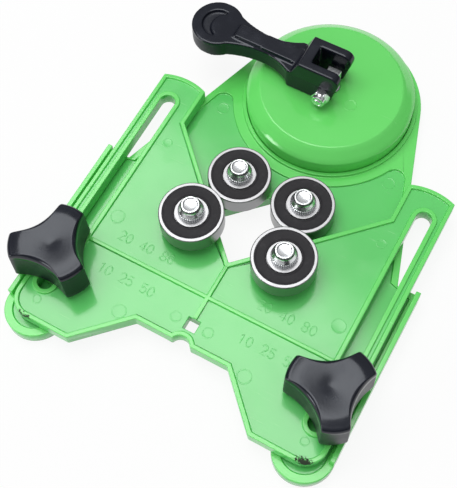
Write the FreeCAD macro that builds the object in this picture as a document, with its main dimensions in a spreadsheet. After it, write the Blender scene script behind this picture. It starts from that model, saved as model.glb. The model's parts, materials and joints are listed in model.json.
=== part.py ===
"""Tile hole guide with a vacuum foot.

A base plate grips the tile with a suction cup under a dome. A slide plate runs on the base's two legs and
is clamped by two lobed knobs. Four ball bearings, two on each plate, close on the side of a hole saw.

Frame: origin on the tile's surface under the middle of the suction cup, +Z up, +X to the right, and the bit
and the knobs lie towards -Y. All sizes are millimetres, and angles are degrees.
"""
import FreeCAD, Part
import Sketcher
import math
import os

DRIVING_SIZES = {
    # heights of the two plates
    "base_thick": 5.0, "base_recess": 0.8, "plate_gap": 0.2, "slide_thick": 5.0, "slide_recess": 0.8,
    # base plate outline: round rear end, splayed sides, two legs with rounded feet, notch for the bit
    "base_round": 33.0, "leg_middle": 50.1, "leg_half": 10.3, "leg_start": 54.3,
    "foot_middle": 118.0, "notch_tip": 44.8, "base_rim": 2.4, "panel_ring": 35.0, "panel_corner": 3.5,
    "rail_wall": 1.7, "rail_high": 3.0, "foot_rim": 2.8, "clamp_pad": 14.0,
    # slide plate outline: wings, V notch, front bay with a small nick
    "slide_half": 57.1, "wing_end": 20.4, "wing_bulge": 1.7, "wing_inner": 40.2, "vee_tip": 75.4,
    "front_edge": 123.4, "front_round": 7.5, "bay_wide": 33.3, "bay_narrow": 17.0,
    "nick_half": 3.2, "nick_deep": 2.3, "slide_rim": 1.5,
    # slots, ribs and the sighting hole of the slide plate
    "slot_wide": 5.6, "slot_rear": 30.3, "slot_front": 109.9, "slot_rim": 1.6,
    "rib_wide": 1.3, "rib_at": 89.5, "sight_hole": 4.3, "sight_at": 100.1,
    # ball bearings
    "bearing_outside": 22.0, "bearing_bore": 8.0, "bearing_wide": 7.0, "inner_shoulder": 12.1,
    "inner_land": 11.1, "outer_shoulder": 17.9, "ring_edge": 0.4, "seal_seat": 19.7, "seal_thick": 0.7,
    "seal_inset": 0.15, "ball_size": 3.97, "race_clear": 0.06, "seal_clear": 0.2, "cage_wide": 1.5,
    "cage_low": 2.6, "cage_high": 0.9,
    # where the bearings stand
    "front_side": 17.2, "front_at": 69.1, "front_seat": 3.2, "rear_side": 12.2, "rear_at": 45.5,
    "rear_seat": 0.5, "boss_size": 11.4, "spigot_clear": 0.05, "spigot_short": 0.6,
    # bearing screws, with a collar, a sloping shoulder and a narrower dimpled cap, and their captive nuts
    "screw_size": 5.0, "collar_size": 8.8, "collar_high": 1.9, "shoulder_size": 8.2, "shoulder_high": 2.6,
    "cap_size": 6.2, "cap_low": 4.2, "head_high": 5.3, "cap_round": 0.4, "dimple_round": 2.4,
    "dimple_deep": 0.9, "screw_hole": 5.3,
    "nut_across": 8.0, "nut_thick": 2.7, "nut_clear": 0.1, "screw_short": 0.5, "nut_inset": 0.2,
    # clamp bolts, washers and knobs
    "clamp_at": 101.6, "clamp_size": 5.0, "clamp_hole": 5.3, "clamp_head": 8.0, "clamp_head_thick": 2.5,
    "washer_size": 12.0, "washer_thick": 1.0, "washer_gap": 0.1, "knob_gap": 0.1,
    "knob_reach": 14.0, "lobe_half": 4.5, "lobe_round": 13.0, "knob_waist": 20.0, "knob_high": 14.5,
    "knob_corner": 2.2, "knob_edge": 1.6, "dish_round": 9.5, "dish_deep": 1.3, "insert_size": 8.0,
    "insert_long": 9.0, "insert_clear": 0.05, "bolt_reach": 8.0,
    # vacuum foot
    "dome_top": 15.1, "dome_flat": 25.4, "dome_band": 11.1, "dome_round": 30.0, "dome_wall": 3.0,
    "dome_fit": 0.1, "ledge_level": 2.5, "ledge_round": 28.4, "ring_high": 1.0, "ring_wide": 1.4,
    "cup_round": 27.1, "cup_lift": 1.3, "cup_lip": 1.0, "cup_hub": 8.0, "cup_hub_top": 9.8, "cup_dish": 2.0,
    "cup_wall": 2.4, "stem_size": 6.0, "stem_clear": 0.1, "stem_foot": 5.0, "stem_foot_thick": 2.0,
    "stem_foot_at": 6.2, "stem_head_thick": 3.0, "stem_head_top": 23.7, "stem_head_round": 0.6,
    # cam lever, measured from the pivot
    "pivot_side": -0.1, "lever_side": -0.6, "pivot_high": 4.6, "cam_round": 4.0, "cam_throw": 0.6,
    "cam_clear": 0.05, "fork_wide": 13.6, "fork_gap": 7.2, "fork_top": 10.5, "fork_back": 10.1,
    "fork_deep": 6.5, "fork_lean": 1.8, "brow_at": 6.3, "brow_start": 2.6, "brow_round": 3.4,
    "back_slope": 2.7, "heel_back": 14.2, "heel_slope": 0.6, "arm_top": 5.5, "arm_under": 2.4,
    "neck_half": 3.7, "neck_at": 25.1, "ridge_at": 38.0, "ridge_rise": 1.2, "ridge_tip": 2.7,
    "ridge_root": 3.4, "pad_at": 45.3, "pad_round": 9.3, "pad_top": 4.4, "pad_under": 2.6,
    "pad_dish": 1.1, "dish_out": 5.6, "dish_inner": 2.0,
    # the bolt that the lever turns on, and its lock nut
    "pivot_size": 3.0, "pivot_clear": 0.05, "pivot_head": 5.5, "pivot_head_high": 2.4,
    "pivot_nut_across": 5.5, "pivot_nut_thick": 2.6, "pivot_collar": 4.9, "pivot_collar_high": 1.4,
    "pivot_end": 0.4,
}
DRIVING_ANGLES = {
    # the base's sides, the thumb rest's ends, and how each knob was left standing
    "side_splay": 18.0, "dish_turn": 70.0, "left_knob_turn": 92.4, "right_knob_turn": 61.7,
}
FULL_TURN = 360
BALL_COUNT = 7
HEX_SIDES = 6
LOBES = 3
TOUCH = 1e-5
SIDES = {"left": -1, "right": 1}

doc = FreeCAD.newDocument("tile_hole_guide")
sheet = doc.addObject("Spreadsheet::Sheet", "Sizes")


class Size:
    """A number together with the sheet formula that gives it, so that sums keep both in step."""

    def __init__(self, formula, value):
        self.formula = formula
        self.value = value

    def joined(self, sign, other, value):
        return Size(f"({self.formula} {sign} {other.formula})", value)

    def __add__(self, other):
        other = as_size(other)
        return self.joined("+", other, self.value + other.value)

    def __sub__(self, other):
        other = as_size(other)
        return self.joined("-", other, self.value - other.value)

    def __mul__(self, other):
        other = as_size(other)
        return self.joined("*", other, self.value * other.value)

    def __truediv__(self, other):
        other = as_size(other)
        return self.joined("/", other, self.value / other.value)

    def __radd__(self, other):
        return as_size(other) + self

    def __rsub__(self, other):
        return as_size(other) - self

    def __rmul__(self, other):
        return as_size(other) * self

    def __neg__(self):
        return self * -1

    def root(self):
        return Size(f"sqrt({self.formula})", math.sqrt(self.value))


def as_size(number):
    """A plain number as a Size of its own."""
    if isinstance(number, Size):
        return number
    return Size(f"({number!r})", float(number))


def cosine(angle):
    angle = as_size(angle)
    return Size(f"cos({angle.formula})", math.cos(math.radians(angle.value)))


def sine(angle):
    angle = as_size(angle)
    return Size(f"sin({angle.formula})", math.sin(math.radians(angle.value)))


class Dimensions:
    """Every driving size, written to the sheet once and read back as a Size by its name."""

    def __init__(self, lengths, angles):
        rows = [(name, value, str(value)) for name, value in lengths.items()]
        rows += [(name, value, f"={value} deg") for name, value in angles.items()]
        for row, (name, value, text) in enumerate(rows, start=1):
            sheet.set(f"A{row}", name)
            sheet.set(f"B{row}", text)
            sheet.setAlias(f"B{row}", name)
            setattr(self, name, Size(f"Sizes.{name}", value))
        doc.recompute()


d = Dimensions(DRIVING_SIZES, DRIVING_ANGLES)
ROOT_TWO = as_size(2).root()
pieces = {}


def bind(target, prop, size):
    """Ties one property to its sheet formula."""
    target.setExpression(prop, as_size(size).formula)


def place(target, x=0, y=0, z=0, turn=0):
    """Puts a piece at (x, y, z), turned about +Z."""
    target.Placement = FreeCAD.Placement(FreeCAD.Vector(), FreeCAD.Rotation(FreeCAD.Vector(0, 0, 1), 0))
    for axis, size in zip("xyz", (x, y, z)):
        bind(target, f"Placement.Base.{axis}", size)
    if as_size(turn).value:
        bind(target, "Placement.Rotation.Angle", turn)


def new_body(name):
    """An empty body whose label names its file."""
    body = doc.addObject("PartDesign::Body", name)
    body.Label = name
    pieces[name] = body
    return body


def new_sketch(body, plane="XY_Plane", level=0):
    """A sketch on one of the body's own planes, lifted along the plane's normal."""
    sketch = body.newObject("Sketcher::SketchObject", f"{body.Name}_sketch")
    support = [feature for feature in body.Origin.OriginFeatures if feature.Role == plane][0]
    sketch.AttachmentSupport = [(support, "")]
    sketch.MapMode = "FlatFace"
    bind(sketch, "AttachmentOffset.Base.z", level)
    return sketch


def tie(sketch, kind, geometry, point, size):
    """Fixes a point's distance from the sketch's origin along one axis."""
    size = as_size(size)
    number = sketch.addConstraint(Sketcher.Constraint(kind, -1, 1, geometry, point, size.value))
    bind(sketch, f"Constraints[{number}]", size)


def tie_radius(sketch, geometry, size):
    size = as_size(size)
    number = sketch.addConstraint(Sketcher.Constraint("Radius", geometry, size.value))
    bind(sketch, f"Constraints[{number}]", size)


def arc_through(start, end, radius, turn):
    """Short arc from start to end; turn is 1 when it runs anticlockwise and -1 when clockwise."""
    middle = (start + end) * 0.5
    along = end - start
    rise = math.sqrt(max(radius ** 2 - along.Length ** 2 / 4, 0))
    left = FreeCAD.Vector(-along.y, along.x, 0).normalize()
    centre = middle + left * (turn * rise)
    first, last = (start, end) if turn > 0 else (end, start)
    angles = [math.atan2(point.y - centre.y, point.x - centre.x) for point in (first, last)]
    circle = Part.Circle(centre, FreeCAD.Vector(0, 0, 1), radius)
    return Part.ArcOfCircle(circle, angles[0], angles[1])


def outline(sketch, corners):
    """Draws a closed outline. A corner is (x, y) when a straight edge leaves it, or (x, y, radius, turn)."""
    points = [FreeCAD.Vector(as_size(corner[0]).value, as_size(corner[1]).value, 0) for corner in corners]
    edges = []
    for index, corner in enumerate(corners):
        start = points[index]
        end = points[(index + 1) % len(corners)]
        if len(corner) == 2:
            edges.append((sketch.addGeometry(Part.LineSegment(start, end)), 1, 2))
            continue
        radius, turn = corner[2:]
        number = sketch.addGeometry(arc_through(start, end, as_size(radius).value, turn))
        edges.append((number, 1, 2) if turn > 0 else (number, 2, 1))
        tie_radius(sketch, number, radius)
    for index, corner in enumerate(corners):
        number, first, last = edges[index]
        after, after_first, _ = edges[(index + 1) % len(corners)]
        sketch.addConstraint(Sketcher.Constraint("Coincident", number, last, after, after_first))
        tie(sketch, "DistanceX", number, first, corner[0])
        tie(sketch, "DistanceY", number, first, corner[1])


def disc(sketch, x, y, radius):
    """Draws a full circle."""
    x, y, radius = as_size(x), as_size(y), as_size(radius)
    centre = FreeCAD.Vector(x.value, y.value, 0)
    number = sketch.addGeometry(Part.Circle(centre, FreeCAD.Vector(0, 0, 1), radius.value))
    tie(sketch, "DistanceX", number, 3, x)
    tie(sketch, "DistanceY", number, 3, y)
    tie_radius(sketch, number, radius)


def hexagon(sketch, x, y, across):
    """Draws a hexagon by its width across the flats, with two corners on the x axis."""
    step = FULL_TURN / HEX_SIDES
    reach = as_size(across) / 2 / cosine(step / 2)
    angles = [index * step for index in range(HEX_SIDES)]
    outline(sketch, [(x + reach * cosine(angle), y + reach * sine(angle)) for angle in angles])


def stadium(sketch, x, rear, front, half):
    """Draws a slot outline along y with round ends, each end as two quarter arcs."""
    outline(sketch, [
        (x + half, front), (x + half, rear, half, 1), (x, rear + half, half, 1), (x - half, rear),
        (x - half, front, half, 1), (x, front - half, half, 1),
    ])


def pad(sketch, length, both_ways=False):
    """Adds the sketch's area as material along the plane's normal."""
    feature = sketch.getParentGeoFeatureGroup().newObject("PartDesign::Pad", f"{sketch.Name}_pad")
    feature.Profile = sketch
    feature.Midplane = both_ways
    bind(feature, "Length", length)
    sketch.Visibility = False
    return feature


def pocket(sketch, depth, upwards=False, both_ways=False):
    """Takes the sketch's area away, downwards unless told otherwise."""
    feature = sketch.getParentGeoFeatureGroup().newObject("PartDesign::Pocket", f"{sketch.Name}_pocket")
    feature.Profile = sketch
    feature.Reversed = upwards
    feature.Midplane = both_ways
    bind(feature, "Length", depth)
    return feature


def spin(sketch, cut=False):
    """Turns the sketch's area once round its upright axis."""
    kind = "Groove" if cut else "Revolution"
    feature = sketch.getParentGeoFeatureGroup().newObject(f"PartDesign::{kind}", f"{sketch.Name}_spin")
    feature.Profile = sketch
    feature.ReferenceAxis = (sketch, ["V_Axis"])
    feature.Angle = FULL_TURN
    return feature


def round_edges(body, radius, wanted):
    """Fillets the edges of the body's last feature that the test picks out."""
    doc.recompute()
    tip = body.Tip
    names = [f"Edge{number}" for number, edge in enumerate(tip.Shape.Edges, start=1) if wanted(edge)]
    feature = body.newObject("PartDesign::Fillet", f"{body.Name}_fillet")
    feature.Base = (tip, names)
    bind(feature, "Radius", radius)
    return feature


def is_upright(edge):
    box = edge.BoundBox
    return box.ZLength > TOUCH and box.XLength < TOUCH and box.YLength < TOUCH


def lies_at(edge, level):
    box = edge.BoundBox
    return abs(box.ZMin - level) < TOUCH and abs(box.ZMax - level) < TOUCH


def is_panel_corner(edge, *levels):
    """True for the base panel's corners at the given distances along y."""
    return any(abs(edge.BoundBox.YMin - level.value) < TOUCH for level in levels)


# Levels and fits that several pieces share
slide_bottom = d.base_thick + d.plate_gap
slide_top = slide_bottom + d.slide_thick
leg_outer = d.leg_middle + d.leg_half
leg_inner = d.leg_middle - d.leg_half
front_seat_level = slide_top + d.front_seat
rear_seat_level = d.base_thick + d.rear_seat
pivot_level = d.dome_top + d.pivot_high
nut_pocket = d.nut_thick + d.nut_inset


def bearing_seats(body, seats, bottom, seat_level, floor):
    """Bosses, spigots, screw holes and captive nut pockets for a pair of bearings."""
    boss = new_sketch(body, level=floor)
    spigot = new_sketch(body, level=seat_level)
    hole = new_sketch(body, level=bottom)
    trap = new_sketch(body, level=bottom)
    for x, y in seats:
        disc(boss, x, y, d.boss_size / 2)
        disc(spigot, x, y, d.bearing_bore / 2 - d.spigot_clear)
        disc(hole, x, y, d.screw_hole / 2)
        hexagon(trap, x, y, d.nut_across + d.nut_clear * 2)
    pad(boss, seat_level - floor)
    pad(spigot, d.bearing_wide - d.spigot_short)
    pocket(hole, seat_level + d.bearing_wide - bottom, upwards=True)
    pocket(trap, nut_pocket, upwards=True)


def make_base_plate():
    """Round seat, splayed sides, two legs with rails and feet, recessed panels and a notch for the bit."""
    body = new_body("base_plate")
    lean, run = sine(d.side_splay), cosine(d.side_splay)
    touch_x, touch_y = d.base_round * run, d.base_round * lean
    step_x = (d.base_round + d.leg_start * lean) / run
    notch_side = -d.notch_tip - leg_inner
    foot_front = -d.foot_middle - d.leg_half
    plan = new_sketch(body)
    outline(plan, [
        (touch_x, touch_y, d.base_round, 1), (0, d.base_round, d.base_round, 1), (-touch_x, touch_y),
        (-step_x, -d.leg_start), (-leg_outer, -d.leg_start), (-leg_outer, -d.foot_middle, d.leg_half, 1),
        (-d.leg_middle, foot_front, d.leg_half, 1), (-leg_inner, -d.foot_middle), (-leg_inner, notch_side),
        (0, -d.notch_tip), (leg_inner, notch_side), (leg_inner, -d.foot_middle, d.leg_half, 1),
        (d.leg_middle, foot_front, d.leg_half, 1), (leg_outer, -d.foot_middle), (leg_outer, -d.leg_start),
        (step_x, -d.leg_start),
    ])
    pad(plan, d.base_thick)

    # The panel's edge runs down the splayed side, round the foot, back up the notch and round the dome's ring
    floor = d.base_thick - d.base_recess
    side_line = d.base_round - d.base_rim
    reach = (d.panel_ring * d.panel_ring - side_line * side_line).root()
    top_x, top_y = side_line * run + reach * lean, side_line * lean - reach * run
    notch_line = d.notch_tip - d.base_rim * ROOT_TWO
    ring_x = (2 * d.panel_ring * d.panel_ring - notch_line * notch_line).root() / 2 - notch_line / 2
    ring_y = -notch_line - ring_x
    foot_in = d.leg_half - d.foot_rim
    outer_x, inner_x = d.leg_middle + foot_in, d.leg_middle - foot_in
    panels = new_sketch(body, level=d.base_thick)
    for side in SIDES.values():
        outline(panels, [
            (top_x * side, top_y), ((side_line + d.leg_start * lean) / run * side, -d.leg_start),
            (outer_x * side, -d.leg_start - d.base_rim), (outer_x * side, -d.foot_middle, foot_in, -side),
            (d.leg_middle * side, -d.foot_middle - foot_in, foot_in, -side), (inner_x * side, -d.foot_middle),
            (inner_x * side, -notch_line - inner_x), (ring_x * side, ring_y, d.panel_ring, side),
        ])
    pocket(panels, d.base_recess)
    round_edges(body, d.panel_corner, lambda edge: is_upright(edge) and is_panel_corner(edge, top_y, ring_y))

    rails = new_sketch(body, level=d.base_thick)
    rail_in = leg_outer - d.rail_wall
    for side in SIDES.values():
        outline(rails, [
            (leg_outer * side, -d.leg_start), (rail_in * side, -d.leg_start),
            (rail_in * side, -d.foot_middle), (leg_outer * side, -d.foot_middle),
        ])
    pad(rails, d.rail_high)

    ring = new_sketch(body, level=floor)
    ring_inner = d.dome_round + d.dome_fit
    disc(ring, 0, 0, ring_inner)
    disc(ring, 0, 0, ring_inner + d.ring_wide)
    pad(ring, d.base_recess + d.ring_high)

    seats = [(d.rear_side * side, -d.rear_at) for side in SIDES.values()]
    bearing_seats(body, seats, as_size(0), rear_seat_level, floor)

    opening = new_sketch(body, level=d.base_thick + d.ring_high)
    disc(opening, 0, 0, ring_inner)
    pocket(opening, d.base_thick + d.ring_high - d.ledge_level)
    throat = new_sketch(body, level=d.base_thick)
    disc(throat, 0, 0, d.ledge_round)
    pocket(throat, d.base_thick)

    pads = new_sketch(body, level=floor)
    holes = new_sketch(body)
    traps = new_sketch(body)
    for side in SIDES.values():
        x, y = d.leg_middle * side, -d.clamp_at
        disc(pads, x, y, d.clamp_pad / 2)
        disc(holes, x, y, d.clamp_hole / 2)
        hexagon(traps, x, y, d.clamp_head + d.nut_clear * 2)
    pad(pads, d.base_recess)
    pocket(holes, d.base_thick, upwards=True)
    pocket(traps, d.clamp_head_thick + d.nut_clear, upwards=True)


def make_slide_plate():
    """Two slotted wings, a V notch, a front bay with a nick, a raised rim, crossed ribs and a square hole."""
    body = new_body("slide_plate")
    nick = d.nick_half
    bay_top = -d.front_edge + d.bay_wide - d.bay_narrow
    wing_vee = -d.vee_tip + d.wing_inner
    chord = d.slide_half - d.wing_inner
    bulge_round = chord * chord / 8 / d.wing_bulge + d.wing_bulge / 2
    nick_round = (nick * nick + d.nick_deep * d.nick_deep) / 2 / d.nick_deep
    front_turn = -d.front_edge + d.front_round
    plan = new_sketch(body, level=slide_bottom)
    outline(plan, [
        (d.slide_half, -d.wing_end, bulge_round, 1), (d.wing_inner, -d.wing_end), (d.wing_inner, wing_vee),
        (0, -d.vee_tip), (-d.wing_inner, wing_vee), (-d.wing_inner, -d.wing_end, bulge_round, 1),
        (-d.slide_half, -d.wing_end), (-d.slide_half, front_turn, d.front_round, 1),
        (-d.slide_half + d.front_round, -d.front_edge), (-d.bay_wide, -d.front_edge),
        (-d.bay_narrow, bay_top), (-nick, bay_top, nick_round, -1), (nick, bay_top),
        (d.bay_narrow, bay_top), (d.bay_wide, -d.front_edge),
        (d.slide_half - d.front_round, -d.front_edge, d.front_round, 1), (d.slide_half, front_turn),
    ])
    pad(plan, d.slide_thick)

    # The panel keeps one rim's width inside that outline, with the same arc centres
    rim = d.slide_rim
    slant = rim * ROOT_TWO
    corner = slant - rim
    round_in = d.front_round - rim
    end_round = bulge_round - rim
    end_half = chord / 2 - rim
    end_y = -d.wing_end + d.wing_bulge - bulge_round + (end_round * end_round - end_half * end_half).root()
    nick_in = nick_round + rim
    nick_rise = nick_round - d.nick_deep + rim
    nick_x = (nick_in * nick_in - nick_rise * nick_rise).root()
    edge_x, wing_x, turn_x = d.slide_half - rim, d.wing_inner + rim, d.slide_half - d.front_round
    front_y, bay_y = -d.front_edge + rim, bay_top + rim
    panel = new_sketch(body, level=slide_top)
    outline(panel, [
        (edge_x, end_y, end_round, 1), (wing_x, end_y), (wing_x, wing_vee - corner), (0, -d.vee_tip - slant),
        (-wing_x, wing_vee - corner), (-wing_x, end_y, end_round, 1), (-edge_x, end_y),
        (-edge_x, front_turn, round_in, 1), (-turn_x, front_y), (-d.bay_wide - corner, front_y),
        (-d.bay_narrow - corner, bay_y), (-nick_x, bay_y, nick_in, -1), (nick_x, bay_y),
        (d.bay_narrow + corner, bay_y), (d.bay_wide + corner, front_y), (turn_x, front_y, round_in, 1),
        (edge_x, front_turn),
    ])
    pocket(panel, d.slide_recess)

    floor = slide_top - d.slide_recess
    half = d.rib_wide / 2
    rib_end = d.leg_middle - d.slot_wide / 2
    ribs = new_sketch(body, level=floor)
    outline(ribs, [
        (-rib_end, -d.rib_at - half), (rib_end, -d.rib_at - half), (rib_end, -d.rib_at + half),
        (-rib_end, -d.rib_at + half),
    ])
    pad(ribs, d.slide_recess)
    spine = new_sketch(body, level=floor)
    spine_front, spine_rear = -d.sight_at + d.sight_hole / 2, -d.vee_tip - rim
    outline(spine, [(-half, spine_front), (half, spine_front), (half, spine_rear), (-half, spine_rear)])
    pad(spine, d.slide_recess)

    rims = new_sketch(body, level=floor)
    slots = new_sketch(body, level=slide_top)
    for side in SIDES.values():
        stadium(rims, d.leg_middle * side, -d.slot_rear, -d.slot_front, d.slot_wide / 2 + d.slot_rim)
        stadium(slots, d.leg_middle * side, -d.slot_rear, -d.slot_front, d.slot_wide / 2)
    pad(rims, d.slide_recess)
    pocket(slots, d.slide_thick)

    sight = new_sketch(body, level=slide_top)
    reach = d.sight_hole / 2
    outline(sight, [
        (-reach, -d.sight_at - reach), (reach, -d.sight_at - reach), (reach, -d.sight_at + reach),
        (-reach, -d.sight_at + reach),
    ])
    pocket(sight, d.slide_thick)

    seats = [(d.front_side * side, -d.front_at) for side in SIDES.values()]
    bearing_seats(body, seats, slide_bottom, front_seat_level, floor)


def make_bearing(name, x, y, seat_level):
    """Deep-groove ball bearing: two grooved rings, a ball set in a crown cage and a pair of rubber seals."""
    middle = seat_level + d.bearing_wide / 2
    half = d.bearing_wide / 2
    pitch = (d.bearing_outside + d.bearing_bore) / 4
    groove = d.ball_size / 2 + d.race_clear
    inner, outer = d.inner_shoulder / 2, d.outer_shoulder / 2
    inner_side = (groove * groove - (pitch - inner) * (pitch - inner)).root()
    outer_side = (groove * groove - (outer - pitch) * (outer - pitch)).root()
    seal_low = half - d.seal_inset - d.seal_thick

    ring = new_body(f"{name}_outer_ring")
    section = new_sketch(ring, "XZ_Plane")
    rim, seat, ease = d.bearing_outside / 2, d.seal_seat / 2, d.ring_edge
    outline(section, [
        (seat, -half), (rim - ease, -half, ease, 1), (rim, -half + ease), (rim, half - ease, ease, 1),
        (rim - ease, half), (seat, half), (seat, seal_low), (outer, seal_low),
        (outer, outer_side, groove, -1), (outer, -outer_side), (outer, -seal_low), (seat, -seal_low),
    ])
    spin(section)
    place(ring, x, y, middle)

    cone = new_body(f"{name}_inner_ring")
    section = new_sketch(cone, "XZ_Plane")
    bore, land = d.bearing_bore / 2, d.inner_land / 2
    lip = seal_low - d.seal_clear
    outline(section, [
        (bore, -half), (land, -half), (land, -lip), (inner, -lip), (inner, -inner_side, groove, -1),
        (inner, inner_side), (inner, lip), (land, lip), (land, half), (bore, half),
    ])
    spin(section)
    place(cone, x, y, middle)

    balls = doc.addObject("Part::Compound", f"{name}_balls")
    balls.Label = f"{name}_balls"
    pockets = doc.addObject("Part::Compound", f"{name}_ball_pockets")
    for group, extra in ((balls, 0), (pockets, d.race_clear * 2)):
        links = []
        for index in range(BALL_COUNT):
            ball = doc.addObject("Part::Sphere", f"{group.Name}_{index}")
            bind(ball, "Radius", d.ball_size / 2 + extra)
            turn = index * FULL_TURN / BALL_COUNT
            place(ball, pitch * cosine(turn), pitch * sine(turn), 0)
            links.append(ball)
        group.Links = links
    place(balls, x, y, middle)
    pieces[balls.Label] = balls

    band = doc.addObject("PartDesign::Body", f"{name}_cage_band")
    section = new_sketch(band, "XZ_Plane")
    near, far = pitch - d.cage_wide / 2, pitch + d.cage_wide / 2
    outline(section, [(near, -d.cage_low), (far, -d.cage_low), (far, d.cage_high), (near, d.cage_high)])
    spin(section)
    cage = doc.addObject("Part::Cut", f"{name}_cage")
    cage.Label = f"{name}_cage"
    cage.Base = band
    cage.Tool = pockets
    place(cage, x, y, middle)
    pieces[cage.Label] = cage

    rings = []
    for place_name, sign in (("lower", -1), ("upper", 1)):
        seal = doc.addObject("PartDesign::Body", f"{name}_{place_name}_seal")
        section = new_sketch(seal, "XZ_Plane")
        low, high = seal_low * sign, (half - d.seal_inset) * sign
        near = land + d.seal_clear
        outline(section, [(near, low), (seat, low), (seat, high), (near, high)])
        spin(section)
        rings.append(seal)
    seals = doc.addObject("Part::Compound", f"{name}_seals")
    seals.Label = f"{name}_seals"
    seals.Links = rings
    place(seals, x, y, middle)
    pieces[seals.Label] = seals


def make_screw(name, x, y, seat_level, bottom):
    """Screw on the inner ring: wide collar, sloping shoulder and a narrower cap with a round dimple."""
    body = new_body(f"{name}_screw")
    section = new_sketch(body, "XZ_Plane")
    collar, shoulder = d.collar_size / 2, d.shoulder_size / 2
    cap, shank = d.cap_size / 2, d.screw_size / 2
    ease = d.cap_round
    tip = bottom + d.screw_short - seat_level - d.bearing_wide
    bowl = d.dimple_round * d.dimple_round / 2 / d.dimple_deep + d.dimple_deep / 2
    outline(section, [
        (0, tip), (shank, tip), (shank, 0), (collar, 0), (collar, d.collar_high), (shoulder, d.collar_high),
        (shoulder, d.shoulder_high), (cap, d.cap_low), (cap, d.head_high - ease, ease, 1),
        (cap - ease, d.head_high), (d.dimple_round, d.head_high, bowl, -1), (0, d.head_high - d.dimple_deep),
    ])
    spin(section)
    place(body, x, y, seat_level + d.bearing_wide)

    nut = new_body(f"{name}_nut")
    face = new_sketch(nut)
    hexagon(face, 0, 0, d.nut_across)
    disc(face, 0, 0, d.screw_size / 2)
    pad(face, d.nut_thick)
    place(nut, x, y, bottom + d.nut_inset)


def make_clamp(side_name, side, turn):
    """Captive bolt, washer, lobed knob and its threaded bush on one leg."""
    x, y = d.leg_middle * side, -d.clamp_at
    knob_bottom = slide_top + d.washer_gap + d.washer_thick + d.knob_gap
    bolt = new_body(f"clamp_bolt_{side_name}")
    head = new_sketch(bolt)
    hexagon(head, 0, 0, d.clamp_head)
    pad(head, d.clamp_head_thick)
    shank = new_sketch(bolt)
    disc(shank, 0, 0, d.clamp_size / 2)
    pad(shank, knob_bottom + d.bolt_reach)
    place(bolt, x, y, 0)

    washer = new_body(f"clamp_washer_{side_name}")
    face = new_sketch(washer)
    disc(face, 0, 0, d.washer_size / 2)
    disc(face, 0, 0, d.clamp_hole / 2)
    pad(face, d.washer_thick)
    place(washer, x, y, slide_top + d.washer_gap)

    knob = new_body(f"knob_{side_name}")
    plan = new_sketch(knob)
    corners = []
    for lobe in range(LOBES):
        angle = lobe * FULL_TURN / LOBES
        for sign, radius, bend in ((-1, d.lobe_round, 1), (1, d.knob_waist, -1)):
            across = d.lobe_half * sign
            corners.append((d.knob_reach * cosine(angle) - across * sine(angle),
                            d.knob_reach * sine(angle) + across * cosine(angle), radius, bend))
    outline(plan, corners)
    pad(plan, d.knob_high)
    round_edges(knob, d.knob_corner, is_upright)
    round_edges(knob, d.knob_edge, lambda edge: lies_at(edge, d.knob_high.value))
    dish = new_sketch(knob, "XZ_Plane")
    bowl = d.dish_round * d.dish_round / 2 / d.dish_deep + d.dish_deep / 2
    outline(dish, [(0, d.knob_high - d.dish_deep, bowl, 1), (d.dish_round, d.knob_high), (0, d.knob_high)])
    spin(dish, cut=True)
    bush_hole = new_sketch(knob)
    disc(bush_hole, 0, 0, d.insert_size / 2)
    pocket(bush_hole, d.insert_long, upwards=True)
    place(knob, x, y, knob_bottom, turn)

    bush = new_body(f"knob_insert_{side_name}")
    face = new_sketch(bush)
    disc(face, 0, 0, d.insert_size / 2)
    disc(face, 0, 0, d.clamp_size / 2 + d.insert_clear)
    pad(face, d.insert_long)
    place(bush, x, y, knob_bottom)


def make_vacuum_foot():
    """Dome, rubber cup and the pull stem that the cam lever lifts."""
    dome = new_body("suction_housing")
    section = new_sketch(dome, "XZ_Plane")
    wall_in = d.dome_round - d.dome_wall
    roof = d.dome_top - d.dome_wall
    hole = d.stem_size / 2 + d.stem_clear
    outline(section, [
        (hole, roof), (wall_in, roof), (wall_in, d.ledge_level), (d.dome_round, d.ledge_level),
        (d.dome_round, d.dome_band), (d.dome_flat, d.dome_top), (hole, d.dome_top),
    ])
    spin(section)

    cup = new_body("suction_cup")
    section = new_sketch(cup, "XZ_Plane")
    lift, hub, shaft = d.cup_lift, d.cup_hub, d.stem_size / 2
    foot_top = d.stem_foot_at + d.stem_foot_thick
    outline(section, [
        (0, lift + d.cup_dish), (hub, lift + d.cup_dish), (d.cup_round, lift),
        (d.cup_round, lift + d.cup_lip), (hub, lift + d.cup_dish + d.cup_wall), (hub, d.cup_hub_top),
        (shaft, d.cup_hub_top), (shaft, foot_top), (d.stem_foot, foot_top), (d.stem_foot, d.stem_foot_at),
        (0, d.stem_foot_at),
    ])
    spin(section)

    stem = new_body("pull_stem")
    section = new_sketch(stem, "XZ_Plane")
    outline(section, [
        (0, d.stem_foot_at), (d.stem_foot, d.stem_foot_at), (d.stem_foot, foot_top), (shaft, foot_top),
        (shaft, d.dome_top), (0, d.dome_top),
    ])
    spin(section)
    # The flat blade is no wider than the round shaft allows, because part of it sinks into the dome
    blade = new_sketch(stem, "XZ_Plane")
    flat = d.stem_head_thick / 2
    blade_half = (shaft * shaft - flat * flat).root()
    ease = d.stem_head_round
    shoulder = d.stem_head_top - ease
    outline(blade, [
        (-blade_half, roof), (blade_half, roof), (blade_half, shoulder, ease, 1),
        (blade_half - ease, d.stem_head_top), (ease - blade_half, d.stem_head_top, ease, 1),
        (-blade_half, shoulder),
    ])
    pad(blade, d.stem_head_thick, both_ways=True)
    eye = new_sketch(stem, "XZ_Plane")
    disc(eye, d.pivot_side, pivot_level, d.pivot_size / 2 + d.pivot_clear)
    pocket(eye, d.fork_wide, both_ways=True)


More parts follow.
